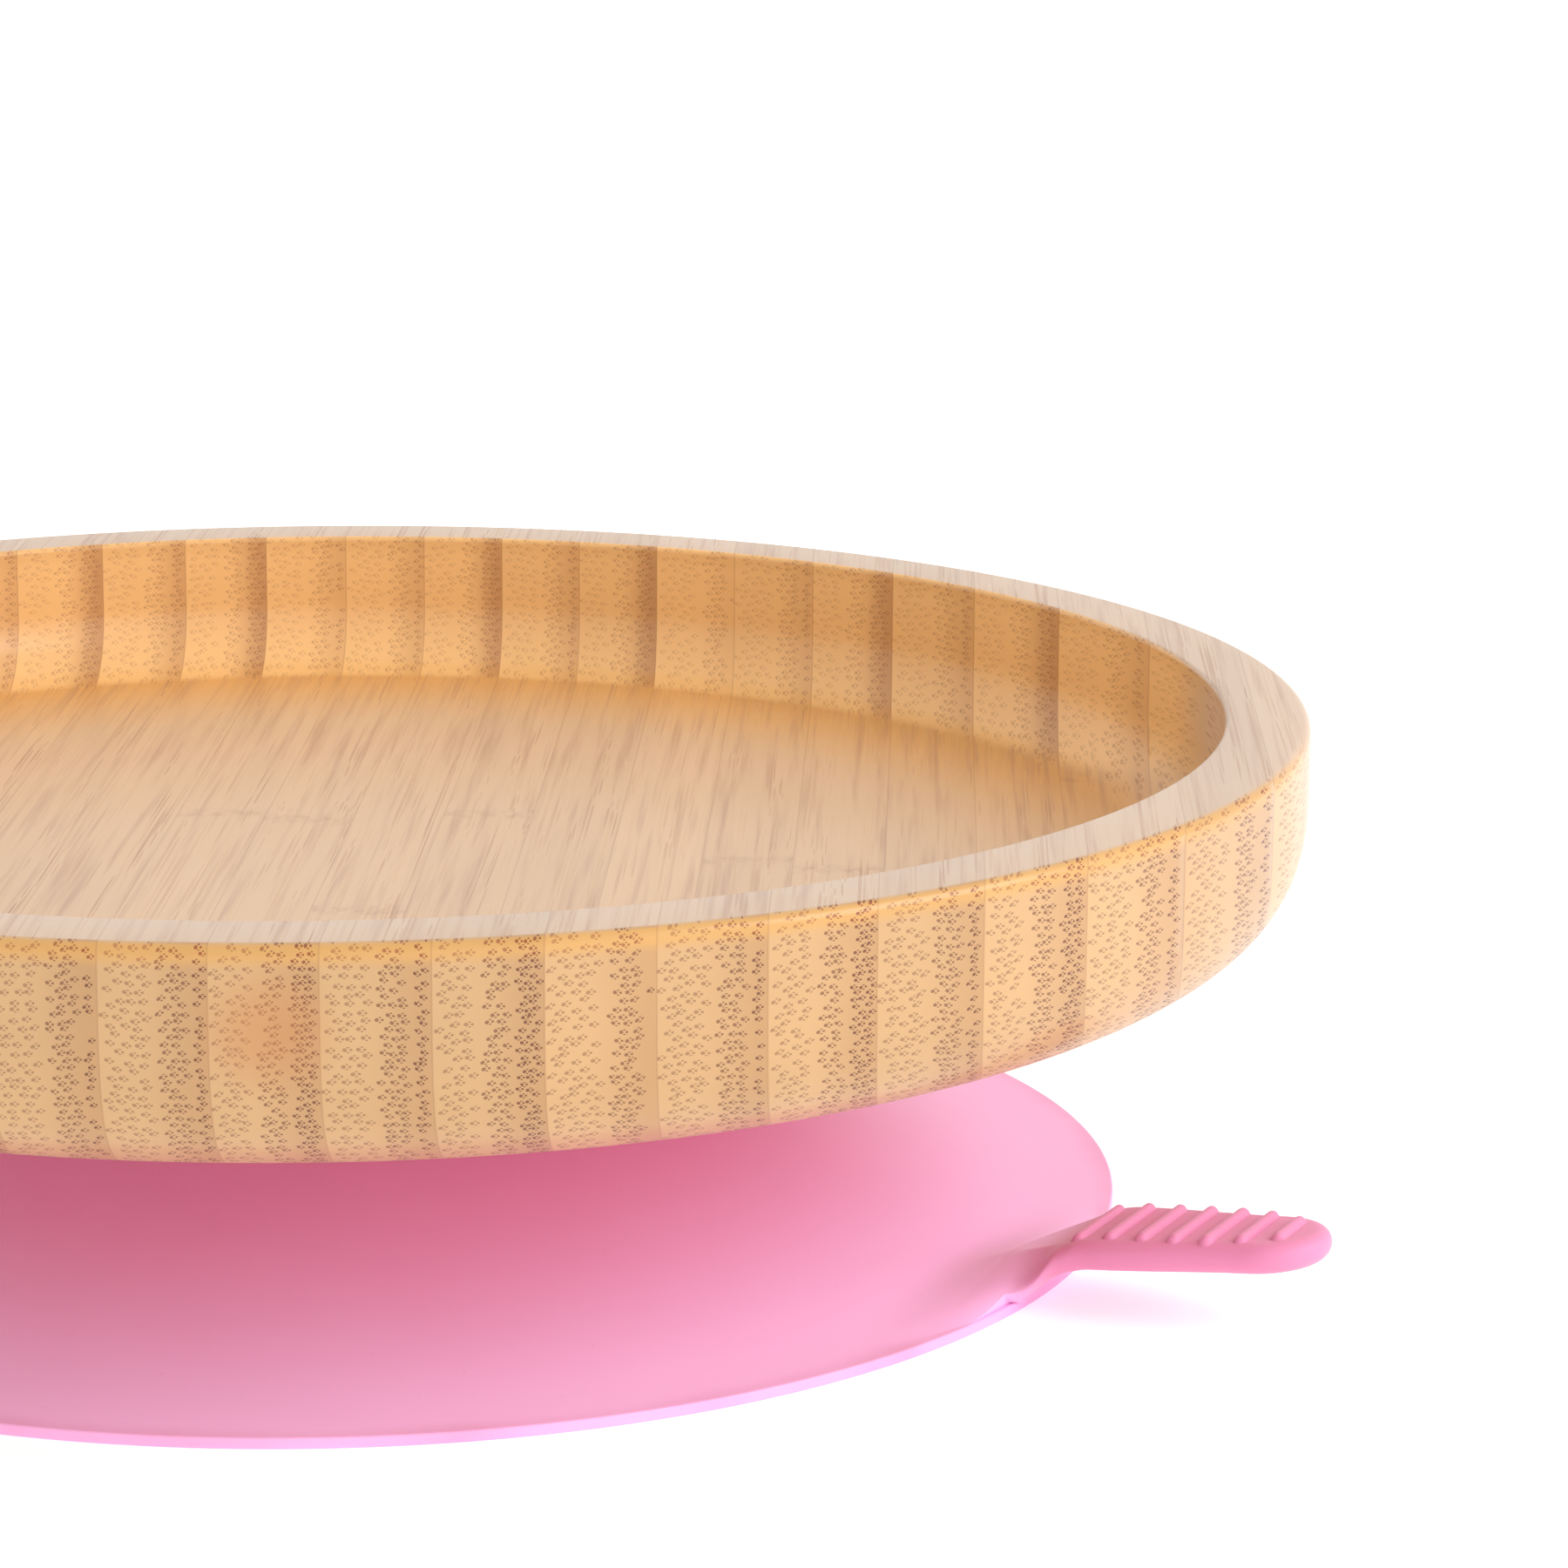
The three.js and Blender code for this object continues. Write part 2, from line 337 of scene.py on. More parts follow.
def dome_height(r):
    """Height of the dome's outer surface. Works on numbers and arrays."""
    inward = np.clip((LIP_RADIUS - r) / (LIP_RADIUS - NECK_RADIUS), 0, None)
    return LIP_HEIGHT + (DOME_TOP - LIP_HEIGHT) * inward ** DOME_FLARE


def hollow_height(r):
    inward = (LIP_RADIUS - r) / (LIP_RADIUS - NECK_RADIUS)
    return dome_height(r) - LIP_HEIGHT - (NECK_WALL - LIP_HEIGHT) * inward


def neck_fillet():
    """The concave fillet from the upright neck into the dome."""
    turn = math.radians(NECK_FILLET_TURN)
    end = NECK_RADIUS + NECK_FILLET * (1 - math.cos(turn))
    centre_z = dome_height(end) + NECK_FILLET * math.sin(turn)
    return arc(NECK_RADIUS + NECK_FILLET, centre_z, NECK_FILLET, 180, 180 + NECK_FILLET_TURN)


def base_profile():
    socket = FOOT_RADIUS + SOCKET_CLEARANCE
    socket_floor = FOOT_BOTTOM - SOCKET_CLEARANCE
    collar_z = UNDERSIDE - COLLAR_ROUNDING
    fillet = neck_fillet()
    lip_r = LIP_RADIUS - LIP_ROUNDING
    dome = [(r, dome_height(r)) for r in np.linspace(fillet[-1][0], lip_r, DOME_STEPS + 1)]
    hollow_start = LIP_RADIUS - LIP_FLAT - SEAL_BEVEL
    hub_turn = NECK_RADIUS + HUB_ROUNDING
    return [
        (0, socket_floor),
        (socket, socket_floor),
        *arc(socket + COLLAR_ROUNDING, collar_z, COLLAR_ROUNDING, 180, 90, 6),
        *arc(NECK_RADIUS - COLLAR_ROUNDING, collar_z, COLLAR_ROUNDING, 90, 0, 6),
        *fillet,
        *dome[1:-1],
        *arc(lip_r, LIP_HEIGHT - LIP_ROUNDING, LIP_ROUNDING, 90, 0, 5),
        *arc(lip_r, LIP_ROUNDING, LIP_ROUNDING, 0, -90, 5),
        (LIP_RADIUS - LIP_FLAT, 0),
        *[(r, hollow_height(r)) for r in np.linspace(hollow_start, hub_turn, 3 * CURVE_STEPS)],
        (NECK_RADIUS, hollow_height(hub_turn) - HUB_ROUNDING),
        *arc(NECK_RADIUS - HUB_ROUNDING, HUB_BOTTOM + HUB_ROUNDING, HUB_ROUNDING, 0, -90, 5),
        (0, HUB_BOTTOM),
    ]


def silicone_base(material):
    mesh = to_mesh(turned(base_profile()), "silicone_base", SILICONE_SHARP)
    mesh.materials.append(material)
    piece = new_object(mesh.name, mesh)
    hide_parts("suction_skirt", "collar_hub")
    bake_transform(piece)


# ---------------------------------------------------------------- pull tab

def smooth_step(value, start, end):
    t = np.clip((value - start) / (end - start), 0, 1)
    return t * t * (3 - 2 * t)


def smooth_max(a, b, width):
    overlap = np.clip(width - np.abs(a - b), 0, None)
    return np.maximum(a, b) + overlap * overlap / (4 * width)


def smooth_min(a, b, width):
    return -smooth_max(-a, -b, width)


def tab_half_width(s):
    """Half the tab's width seen from above: flared into the dome, slimmer to the tip, with a round end."""
    into = np.clip((FLARE_END - s) / FLARE_RADIUS, 0, 1)
    flare = FLARE_RADIUS * (1 - np.sqrt(1 - into * into))
    round_start = TAB_TIP - TAB_TIP_RADIUS
    straight = TAB_HALF_WIDTH + (TAB_TIP_RADIUS - TAB_HALF_WIDTH) * smooth_step(s, FLARE_END, round_start)
    beyond = np.clip((s - round_start) / TAB_TIP_RADIUS, 0, 1)
    return (straight + flare) * np.sqrt(1 - beyond * beyond)


def root_spread(s):
    """How far to each side the flanks of the tab's root reach: wide on the skirt, drawn in to the tongue."""
    inside = ROOT_SPREAD_SLOPE * np.clip(ROOT_SPREAD_FROM - s, 0, None)
    drawn_in = (TAB_HALF_WIDTH - ROOT_SPREAD) * smooth_step(s, ROOT_SPREAD_FROM, ROOT_SPREAD_END)
    return ROOT_SPREAD + inside + drawn_in


def patch_half_width(s):
    """Half the width of the tab's patch: as wide as its root on the skirt, but never past the lip."""
    lip = np.sqrt(np.clip((LIP_RADIUS - LIP_ROUNDING) ** 2 - s * s, 0, None))
    return np.maximum(tab_half_width(s), np.minimum(root_spread(s), lip))


def tongue_top(s):
    return TAB_TOP + TAB_RISE * (s - RAMP_END)


def ramp_top(s):
    """Height of the tab's middle line: out of the dome, up the ramp, and along the tongue."""
    ramp = smooth_min(TAB_TOP + RAMP_SLOPE * (s - RAMP_END), tongue_top(s), RAMP_END_BLEND)
    return smooth_max(dome_height(s), ramp, RAMP_BLEND)


def flat_half_width(s):
    """Half the width of the tab's flat top: nothing on the ridge's start, all but the round edges later."""
    grown = np.clip((s - RIDGE_SPLIT) / (RIB_START - RIDGE_SPLIT), 0, 1)
    return grown * (tab_half_width(s) - TAB_EDGE)


def tab_bottom(s, skin):
    """Height of the tab's underside: under the dome's skin, and then up from the lip in a hollow curve."""
    into = np.clip((FLARE_END - s) / (FLARE_END - LIP_RADIUS), 0, 1)
    free = tongue_top(s) - TAB_THICKNESS - (TAB_THICKNESS + SINK) * into ** UNDERCUT_CURVE
    return np.where(s < LIP_RADIUS, skin - BURIED, np.maximum(free, LIP_HEIGHT - BURIED))


def rib_height(s, t):
    """The raised ribs across the tongue, with round ends."""
    height = np.zeros_like(t)
    for i in range(RIB_COUNT):
        last = i - (RIB_COUNT - len(LAST_RIB_HALF_LENGTHS))
        half = LAST_RIB_HALF_LENGTHS[last] if last >= 0 else RIB_HALF_LENGTH
        away = np.hypot(s - RIB_START - i * RIB_PITCH, np.clip(np.abs(t) - half, 0, None)) / RIB_RADIUS
        height += RIB_HEIGHT * np.clip(1 - away * away, 0, None) ** RIB_ROUNDNESS
    return height


def root_height(s, t, skin):
    """The root's top: a ridge whose hollow flanks run out into the skirt."""
    flat = flat_half_width(s)
    out = np.clip((np.abs(t) - flat) / np.maximum(root_spread(s) - flat, TAB_EDGE), 0, 1)
    power = ROOT_HOLLOW + (1 - ROOT_HOLLOW) * smooth_step(s, ROOT_HOLLOW_FROM, ROOT_HOLLOW_END)
    rise = smooth_step(s, TAB_START, TAB_START + ROOT_FADE)
    return skin + rise * (ramp_top(s) - skin) * (1 - out) ** power


def tab_heights(s, t, width):
    """Top and bottom heights at a distance out and to the side, on a patch of some half-width there.

    The root's flanks turn into the tongue's round edges beyond the lip.
    """
    skin = dome_height(np.hypot(s, t)) - SINK
    top, bottom = ramp_top(s), tab_bottom(s, skin)
    middle = 0.5 * (top + bottom)
    flat = flat_half_width(s)
    at_tip = s > TAB_TIP - TAB_TIP_RADIUS
    from_tip_centre = np.hypot(np.clip(s - TAB_TIP + TAB_TIP_RADIUS, 0, None), t)
    beyond = np.where(at_tip, from_tip_centre - TAB_TIP_RADIUS + TAB_EDGE, np.abs(t) - flat)
    out = np.clip(beyond / np.where(at_tip, TAB_EDGE, width - flat), 0, 1)
    rounded = np.clip(1 - out ** TAB_EDGE_FULLNESS, 0, 1) ** (1 / TAB_EDGE_FULLNESS)
    free = smooth_step(s, ROOT_EDGE_FROM, ROOT_END)
    root = root_height(s, t, skin)
    edge_skin = dome_height(np.hypot(s, width)) - SINK
    edge_z = root_height(s, width, edge_skin) * (1 - free) + middle * free
    upper = root * (1 - free) + (middle + (top - middle) * rounded) * free
    lower = edge_z + (bottom - edge_z) * rounded
    return np.maximum(upper, lower), lower


def tab_mesh():
    """Two height fields, top and bottom, that share their outline."""
    round_start = TAB_TIP - TAB_TIP_RADIUS
    straight = np.arange(TAB_START, round_start, TAB_STEP)
    end = round_start + TAB_TIP_RADIUS * np.sin(np.linspace(0, math.pi / 2, TAB_TIP_STEPS))
    stations = np.concatenate([straight, end[:-1]])
    across = np.sin(np.linspace(-math.pi / 2, math.pi / 2, TAB_ACROSS_STEPS + 1))
    s = np.repeat(stations[:, None], len(across), axis=1)
    width = patch_half_width(s)
    t = width * across
    top, bottom = tab_heights(s, t, width)
    top = top + rib_height(s, t)
    body = bmesh.new()
    upper = [[body.verts.new(point) for point in zip(*row)] for row in zip(s, t, top)]
    inner = (s[:, 1:-1], t[:, 1:-1], bottom[:, 1:-1])
    lower = [[body.verts.new(point) for point in zip(*row)] for row in zip(*inner)]
    lower = [[above[0], *row, above[-1]] for above, row in zip(upper, lower)]
    for sheet in (upper, lower):
        for near, far in zip(sheet, sheet[1:]):
            for i in range(len(near) - 1):
                body.faces.new((near[i], near[i + 1], far[i + 1], far[i]))
    body.faces.new([*upper[0], *reversed(lower[0][1:-1])])
    body.faces.new([*upper[-1], *reversed(lower[-1][1:-1])])
    bmesh.ops.recalc_face_normals(body, faces=body.faces)
    bmesh.ops.rotate(body, verts=body.verts, matrix=Matrix.Rotation(TAB_AZIMUTH, 3, "Z"))
    return to_mesh(body, "silicone_pull_tab", TAB_SHARP)


def pull_tab(material):
    mesh = tab_mesh()
    mesh.materials.append(material)
    piece = new_object(mesh.name, mesh)
    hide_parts("pull_tab")
    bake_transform(piece)


# ---------------------------------------------------------------- materials

def colour(*display):
    """A display colour, 0 to 255, as the linear colour that shaders take."""
    levels = [value / 255 for value in display]
    return (*[c / 12.92 if c <= 0.04045 else ((c + 0.055) / 1.055) ** 2.4 for c in levels], 1)


END_GRAIN_PALE = colour(190, 149, 101)
END_GRAIN_DEEP = colour(176, 133, 86)
END_GRAIN_BUNDLE = colour(110, 62, 30)
INNER_END_GRAIN = colour(227, 175, 110)
INNER_STRIP_EDGE = colour(188, 134, 80)
RIM_BAND_BASE = colour(198, 147, 75)
RIM_BAND_BUNDLE = colour(150, 78, 26)
RIM_GRAIN = colour(194, 164, 136)
FLOOR_GRAIN = colour(201, 163, 124)
GOLDEN_GRAIN = colour(208, 150, 82)
FINE_GRAIN = colour(184, 144, 110)
LONG_STREAK = colour(156, 108, 80)
NODE_MARK = colour(146, 98, 70)
GLUE = colour(140, 92, 54)
STAIN = colour(178, 112, 52)
# Painted shade: deeper pink at the neck under the bowl. Painted light: paler pink on the lip
PINK_PAINTED_SHADE_NECK = colour(244, 144, 192)
PINK_PAINTED_LIGHT_LIP = colour(253, 190, 240)
# Painted shade: darker pink on the pull tab
PINK_PAINTED_SHADE_TAB = colour(220, 131, 170)
PINK_SPECK = colour(226, 136, 182)


class Graph:
    """Short calls for a node tree. An input is a number, a tuple, or another node's output."""

    def __init__(self, tree):
        self.tree = tree
        self.tree.nodes.clear()

    def node(self, kind, inputs=None, **settings):
        node = self.tree.nodes.new(kind)
        for name, value in settings.items():
            setattr(node, name, value)
        for name, value in (inputs or {}).items():
            self.feed(value, node.inputs[name])
        return node

    def feed(self, value, socket):
        if isinstance(value, bpy.types.NodeSocket):
            self.tree.links.new(value, socket)
        else:
            socket.default_value = value

    def math(self, operation, *values):
        node = self.node("ShaderNodeMath", operation=operation)
        for value, socket in zip(values, node.inputs):
            self.feed(value, socket)
        return node.outputs[0]

    def vector(self, operation, *values):
        node = self.node("ShaderNodeVectorMath", operation=operation)
        for value, socket in zip(values, node.inputs):
            self.feed(value, socket)
        return node.outputs[0]

    def split(self, vector):
        return self.node("ShaderNodeSeparateXYZ", {"Vector": vector}).outputs[:3]

    def join(self, x, y, z):
        return self.node("ShaderNodeCombineXYZ", {"X": x, "Y": y, "Z": z}).outputs[0]

    def product(self, *values):
        result = values[0]
        for value in values[1:]:
            result = self.math("MULTIPLY", result, value)
        return result

    def radius(self, x, y):
        return self.math("SQRT", self.math("ADD", self.product(x, x), self.product(y, y)))

    def step(self, value, low, high):
        """0 below low, 1 above high, smooth between them. low may be the larger."""
        ranges = {"Value": value, "From Min": low, "From Max": high}
        return self.node("ShaderNodeMapRange", ranges, interpolation_type="SMOOTHSTEP").outputs[0]

    def noise(self, vector, scale, detail=2.0):
        """Noise from -1 to 1."""
        inputs = {"Vector": vector, "Scale": scale, "Detail": detail}
        value = self.node("ShaderNodeTexNoise", inputs).outputs[0]
        return self.math("MULTIPLY_ADD", value, 2.0, -1.0)

    def mix(self, factor, a, b, blend="MIX"):
        node = self.node("ShaderNodeMix", data_type="RGBA", blend_type=blend)
        self.feed(factor, node.inputs["Factor"])
        self.feed(a, node.inputs[6])
        self.feed(b, node.inputs[7])
        return node.outputs[2]

    def millimetres(self, coordinates):
        """The point in object coordinates, in millimetres."""
        place = self.vector("SCALE", coordinates.outputs["Object"])
        place.node.inputs["Scale"].default_value = 1 / MM
        return place

    def surface(self, inputs):
        shader = self.node("ShaderNodeBsdfPrincipled", inputs)
        output = self.node("ShaderNodeOutputMaterial")
        self.tree.links.new(shader.outputs[0], output.inputs["Surface"])


def new_material(name):
    material = bpy.data.materials.new(name)
    material.use_nodes = True
    return material, Graph(material.node_tree)


def lobe(graph, a, b, centre, size):
    """A soft dot in a bundle: 1 in its middle and 0 outside it."""
    across = graph.math("DIVIDE", graph.math("SUBTRACT", a, centre[0]), size[0])
    up = graph.math("DIVIDE", graph.math("SUBTRACT", b, centre[1]), size[1])
    away = graph.math("ADD", graph.product(across, across), graph.product(up, up))
    return graph.step(away, 1.2, 0.5)


def fibre_bundles(graph, x, z, spacing, size):
    """Bamboo's fibre bundles, cut across: dark lobes round a pale middle, the left one the largest.

    Returns how dark a point is, and the X of its bundle's middle. Lengths are in millimetres.
    """
    wide, tall = spacing
    row = graph.math("DIVIDE", z, tall)
    column = graph.math("MULTIPLY_ADD", row, BUNDLE_STAGGER, graph.math("DIVIDE", x, wide))
    place = graph.join(column, row, 0.0)
    inputs = {"Vector": place, "Scale": 1.0, "Randomness": BUNDLE_RANDOMNESS}
    cells = graph.node("ShaderNodeTexVoronoi", inputs, voronoi_dimensions="2D")
    across, up, _ = graph.split(graph.vector("SUBTRACT", place, cells.outputs["Position"]))
    across = graph.product(graph.math("MULTIPLY_ADD", up, -BUNDLE_STAGGER, across), wide)
    middle = graph.math("SUBTRACT", x, across)
    a = graph.math("DIVIDE", across, size[0] / 2)
    b = graph.math("DIVIDE", graph.product(up, tall), size[1] / 2)
    left = lobe(graph, a, b, (-0.55, 0.0), (0.5, 0.66))
    right = lobe(graph, a, b, (0.66, 0.0), (0.34, 0.42))
    top_and_bottom = lobe(graph, a, graph.math("ABSOLUTE", b), (0.12, 0.78), (0.3, 0.26))
    dark = graph.math("MAXIMUM", graph.math("MAXIMUM", left, right), top_and_bottom)
    return dark, middle


def all_bundles(graph, at, x, z):
    """How dark the bundles make a point: sparse on each strip's left, crowded on its right."""
    width = STRIP_WIDTH / MM
    medium_from = graph.math("MULTIPLY_ADD", at.dense, -0.14, MEDIUM_FROM)
    dense_from = graph.math("MULTIPLY_ADD", at.dense, -0.2, DENSE_FROM)
    layers = (
        (SPARSE_BUNDLES, 0.0, medium_from),
        (MEDIUM_BUNDLES, medium_from, dense_from),
        (DENSE_BUNDLES, dense_from, 1.0),
    )
    dark = 0.0
    for (spacing, size, strength), start, end in layers:
        bundle, middle = fibre_bundles(graph, x, z, spacing, size)
        from_joint = graph.math("DIVIDE", graph.math("SUBTRACT", middle, MIDDLE_JOINT / MM), width)
        in_strip = graph.math("SUBTRACT", from_joint, at.strip)
        reach = size[0] / 2 / width
        past_start = graph.math("GREATER_THAN", in_strip, graph.math("ADD", start, reach))
        before_end = graph.math("LESS_THAN", in_strip, graph.math("SUBTRACT", end, reach))
        shown = graph.product(bundle, graph.product(past_start, before_end), strength)
        dark = graph.math("MAXIMUM", dark, shown)
    return dark


def point_on_bamboo(graph):
    """Where a point lies, in millimetres, how its surface faces, and what its strip is like."""
    at = SimpleNamespace()
    coordinates = graph.node("ShaderNodeTexCoord")
    at.place = graph.millimetres(coordinates)
    at.x, at.y, at.z = graph.split(at.place)
    from_joint = graph.math("DIVIDE", graph.math("SUBTRACT", at.x, MIDDLE_JOINT / MM), STRIP_WIDTH / MM)
    at.strip = graph.math("FLOOR", from_joint)
    at.in_strip = graph.math("SUBTRACT", from_joint, at.strip)
    at.offset = graph.product(at.strip, STRIP_OFFSET)
    character = graph.node("ShaderNodeAttribute", attribute_name="strip")
    at.tone, at.dense, at.growth_node = graph.split(character.outputs["Vector"])
    _, normal_y, at.normal_z = graph.split(coordinates.outputs["Normal"])
    at.end_grain = graph.step(graph.math("ABSOLUTE", normal_y), 0.04, 0.3)
    at.inner_side = graph.step(graph.product(normal_y, at.y), 0.0, -8.0)
    return at


def lengthwise(graph, at, across, along):
    """A place for noise that is drawn out along the fibres, and differs from strip to strip."""
    return graph.join(graph.math("DIVIDE", at.x, across), graph.math("DIVIDE", at.y, along), at.offset)


def solid_noise(graph, at, across, along, detail):
    """Noise drawn out along the fibres, which runs on from one strip into the next."""
    x, z = graph.math("DIVIDE", at.x, across), graph.math("DIVIDE", at.z, across)
    return graph.noise(graph.join(x, graph.math("DIVIDE", at.y, along), z), 1.0, detail)


def growth_node(graph, at):
    """A growth node's soft blotched band across its strip, and how near a point is to it."""
    past = graph.math("MULTIPLY_ADD", at.growth_node, -1 / MM, at.y)
    near = graph.step(graph.math("ABSOLUTE", past), 9.0, 1.0)
    wander = graph.noise(graph.join(graph.math("DIVIDE", at.x, 4.0), at.offset, 0.0), 1.0)
    band = graph.step(graph.math("ABSOLUTE", graph.math("MULTIPLY_ADD", wander, 2.0, past)), 2.6, 0.2)
    blotch_place = graph.join(graph.product(at.x, 0.9), graph.product(at.y, 0.5), at.strip)
    blotch = graph.noise(blotch_place, 1.0, 3.0)
    return graph.product(band, graph.step(blotch, -0.35, 0.6)), near


def bundles_where_cut(graph, at, near_node):
    """The bundles after the fibres' slow drift, so that a lengthwise cut shows streaks that begin and end."""
    drift = graph.noise(lengthwise(graph, at, 4.0, 48.0), 1.0, 1.0)
    sway = graph.noise(graph.join(at.offset, graph.math("DIVIDE", at.y, 60.0), 3.3), 1.0, 1.0)
    drift_size = graph.math("MULTIPLY_ADD", near_node, 1.0, 1.2)
    fibre_z = graph.math("ADD", graph.math("MULTIPLY_ADD", drift, drift_size, at.z), at.offset)
    fibre_x = graph.math("MULTIPLY_ADD", sway, 0.5, at.x)
    return all_bundles(graph, at, fibre_x, fibre_z)


def end_grain_colour(graph, at, dark):
    """The wood cut across its fibres: each strip darker to its right, and a golden band under the rim."""
    outer = graph.mix(graph.step(at.in_strip, 0.3, 1.0), END_GRAIN_PALE, END_GRAIN_DEEP)
    edge_strength = graph.math("MULTIPLY_ADD", at.dense, 0.8, 0.2)
    inner_edge = graph.product(graph.step(at.in_strip, 0.5, 1.0), edge_strength)
    inner = graph.mix(inner_edge, INNER_END_GRAIN, INNER_STRIP_EDGE)
    contrast = graph.math("MULTIPLY_ADD", at.inner_side, -0.6, 1.0)
    base = graph.mix(at.inner_side, outer, inner)
    wood = graph.mix(graph.product(dark, contrast), base, END_GRAIN_BUNDLE)
    upright = graph.step(at.normal_z, 0.97, 0.8)
    rim_band = graph.product(upright, graph.step(at.z, RIM_BAND_LOW, RIM_BAND_HIGH))
    band_strength = graph.math("MULTIPLY_ADD", at.inner_side, -0.55, 0.75)
    rim_wood = graph.mix(dark, RIM_BAND_BASE, RIM_BAND_BUNDLE)
    return graph.mix(graph.product(rim_band, band_strength), wood, rim_wood)


def long_grain_colour(graph, at, dark, fine):
    """The wood cut along its fibres: pinkish on the rim, golden at the far side of the floor, with streaks."""
    outwards = graph.step(graph.radius(at.x, at.y), 52.0, 79.0)
    far_side = graph.product(outwards, graph.step(at.y, -30.0, 40.0))
    floor_base = graph.mix(far_side, FLOOR_GRAIN, GOLDEN_GRAIN)
    base = graph.mix(graph.step(at.z, FLOOR_TOP + 2.0, FLOOR_TOP + 10.0), floor_base, RIM_GRAIN)
    base = graph.mix(graph.product(graph.step(fine, 0.0, 1.0), 0.5), base, FINE_GRAIN)
    grouped = graph.step(graph.noise(lengthwise(graph, at, 1.6, 22.0), 1.0, 1.0), -0.25, 0.45)
    broad_place = graph.join(graph.product(at.x, 1.2), graph.math("DIVIDE", at.y, 30.0), at.offset)
    broad = graph.step(graph.noise(broad_place, 1.0, 2.0), -0.1, 0.7)
    streak = graph.math("MAXIMUM", graph.product(dark, grouped, 0.6), graph.product(broad, 0.6))
    return graph.mix(streak, base, LONG_STREAK)


def bamboo_material():
    """Solid bamboo whose fibre bundles run along Y and vary by strip, with growth nodes and one stain."""
    material, graph = new_material("bamboo")
    at = point_on_bamboo(graph)
    node_mark, near_node = growth_node(graph, at)
    dark = bundles_where_cut(graph, at, near_node)
    mottle = solid_noise(graph, at, 6.0, 30.0, 2.0)
    fine = solid_noise(graph, at, 0.25, 14.0, 3.0)
    long_grain = long_grain_colour(graph, at, dark, fine)
    wood = graph.mix(at.end_grain, long_grain, end_grain_colour(graph, at, dark))
    node_strength = graph.math("MULTIPLY_ADD", at.end_grain, -0.35, 0.42)
    wood = graph.mix(graph.product(node_mark, node_strength), wood, NODE_MARK)
    from_strip_middle = graph.math("ABSOLUTE", graph.math("SUBTRACT", at.in_strip, 0.5))
    wood = graph.mix(graph.product(graph.step(from_strip_middle, GLUE_FROM, GLUE_TO), 0.3), wood, GLUE)
    stain_distance = graph.vector("DISTANCE", at.place, STAIN_PLACE).node.outputs["Value"]
    wood = graph.mix(graph.product(graph.step(stain_distance, STAIN_RADIUS, 1.0), 0.5), wood, STAIN)
    wood = graph.vector("SCALE", wood)
    shade = graph.math("MULTIPLY_ADD", mottle, 0.05, graph.math("MULTIPLY_ADD", at.tone, 0.035, 1.0))
    graph.feed(shade, wood.node.inputs["Scale"])

    relief = graph.math("MULTIPLY_ADD", dark, -1.0, graph.product(fine, 0.25))
    bump = graph.node("ShaderNodeBump", {"Strength": 0.2, "Distance": 0.03 * MM, "Height": relief})
    graph.surface({
        "Base Color": wood,
        "Roughness": graph.math("MULTIPLY_ADD", dark, 0.12, graph.math("MULTIPLY_ADD", fine, 0.03, 0.4)),
        "Normal": bump.outputs[0],
        "Specular IOR Level": 0.45,
        "Coat Weight": 0.3,
        "Coat Roughness": 0.22,
    })
    return material


def silicone_material():
    """Matte pink silicone with painted shade and light: deeper pink painted shade towards the neck under the
    bowl, paler painted light on the lip, darker painted shade on the tab, with fine specks and a velvety edge.
    """
    material, graph = new_material("silicone")
    place = graph.millimetres(graph.node("ShaderNodeTexCoord"))
    clouds = graph.noise(place, 0.07, 3.0)
    grain = graph.noise(place, 3.0, 2.0)
    x, y, _ = graph.split(place)
    radius = graph.math("MULTIPLY_ADD", clouds, 2.0, graph.radius(x, y))
    # Painted shade: deeper pink towards the neck; painted light: paler pink out on the lip
    pink = graph.mix(graph.step(radius, NECK_SHADE_UNTIL, LIP_LIGHT_FROM), PINK_PAINTED_SHADE_NECK, PINK_PAINTED_LIGHT_LIP)
    # Painted shade: darker pink on the tab, coming in past the lip
    pink = graph.mix(graph.step(radius, TAB_SHADE_START, TAB_SHADE_FULL), pink, PINK_PAINTED_SHADE_TAB)
    specks = graph.node("ShaderNodeTexVoronoi", {"Vector": place, "Scale": 0.35, "Randomness": 1.0})
    speck = graph.step(specks.outputs["Distance"], 0.05, 0.02)
    pink = graph.mix(graph.product(speck, 0.35), pink, PINK_SPECK)
    bump = graph.node("ShaderNodeBump", {"Strength": 0.15, "Distance": 0.02 * MM, "Height": grain})
    graph.surface({
        "Base Color": pink,
        "Roughness": graph.math("MULTIPLY_ADD", clouds, 0.03, 0.52),
        "Normal": bump.outputs[0],
        "Specular IOR Level": 0.35,
        "Sheen Weight": 0.12,
        "Sheen Roughness": 0.5,
    })
    return material


# ---------------------------------------------------------------- stage, lights and camera

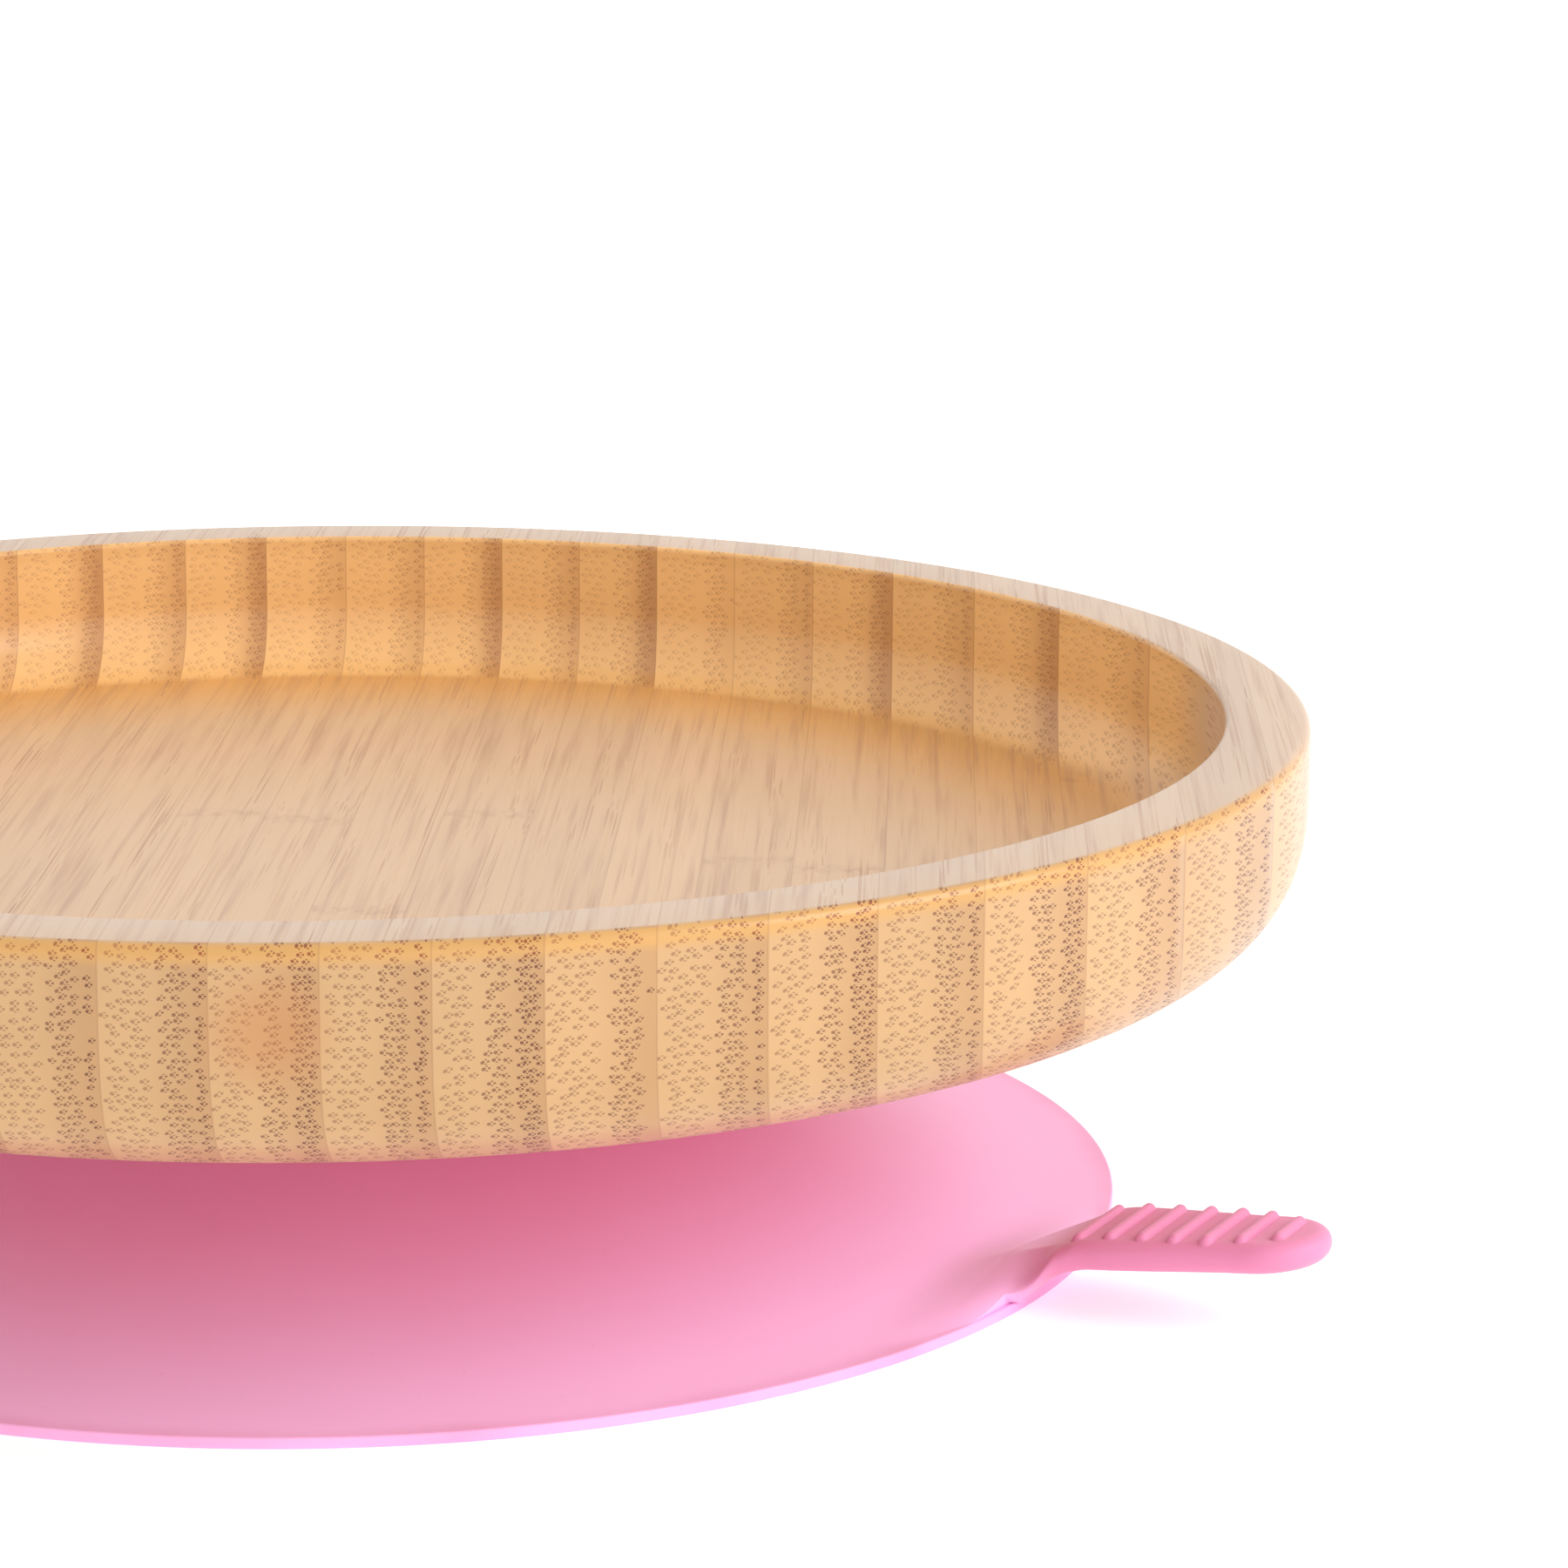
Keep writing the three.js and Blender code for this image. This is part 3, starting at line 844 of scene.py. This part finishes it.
def floor():
    """A plain white floor that glows a little, so that shadows on it stay faint."""
    mesh = bpy.data.meshes.new("floor")
    corners = [(x * FLOOR_HALF, y * FLOOR_HALF, 0) for x, y in ((-1, -1), (1, -1), (1, 1), (-1, 1))]
    mesh.from_pydata(corners, [], [(0, 1, 2, 3)])
    material, graph = new_material("floor")
    glow = {"Emission Color": (1, 1, 1, 1), "Emission Strength": FLOOR_GLOW}
    graph.surface({"Base Color": (0.95, 0.95, 0.95, 1), "Roughness": 0.9, **glow})
    mesh.materials.append(material)
    new_object("floor", mesh)


def world(strength):
    """An even white surround, seen as plain white, that lights with some strength."""
    bpy.context.scene.world = bpy.data.worlds.new("studio")
    bpy.context.scene.world.use_nodes = True
    graph = Graph(bpy.context.scene.world.node_tree)
    seen = graph.node("ShaderNodeLightPath").outputs["Is Camera Ray"]
    power = graph.math("MULTIPLY_ADD", seen, 1 - strength, strength)
    background = graph.node("ShaderNodeBackground", {"Color": (1, 1, 1, 1), "Strength": power})
    output = graph.node("ShaderNodeOutputWorld")
    graph.tree.links.new(background.outputs[0], output.inputs["Surface"])


def softbox(name, azimuth, elevation, distance, size, power):
    """A square softbox that faces the bowl, at an azimuth and elevation in degrees."""
    light = bpy.data.lights.new(name, "AREA")
    light.size = size
    light.energy = power
    lamp = new_object(name, light)
    turn, lift = math.radians(azimuth), math.radians(elevation)
    away = Vector((math.cos(turn) * math.cos(lift), math.sin(turn) * math.cos(lift), math.sin(lift)))
    lamp.location = away * distance
    lamp.rotation_euler = away.to_track_quat("Z", "Y").to_euler()
    lamp.visible_camera = False


def camera():
    lens = bpy.data.cameras.new("camera")
    lens.lens = CAMERA_LENS
    lens.sensor_width = 36
    lens.clip_start = 0.01
    eye = new_object("camera", lens)
    yaw = Matrix.Rotation(math.radians(CAMERA_YAW), 3, "Z")
    pitch = Matrix.Rotation(math.radians(90 + CAMERA_PITCH), 3, "X")
    roll = Matrix.Rotation(math.radians(CAMERA_ROLL), 3, "Z")
    eye.matrix_world = Matrix.LocRotScale(CAMERA_PLACE, yaw @ pitch @ roll, None)
    bpy.context.scene.camera = eye


def build():
    camera()
    floor()
    world(WORLD_STRENGTH)
    for name, placing in SOFTBOXES.items():
        softbox(name, *placing)
    bpy.context.scene.view_settings.view_transform = "Standard"
    bamboo = bamboo_material()
    silicone = silicone_material()
    bamboo_strips(bamboo)
    silicone_base(silicone)
    pull_tab(silicone)


build()
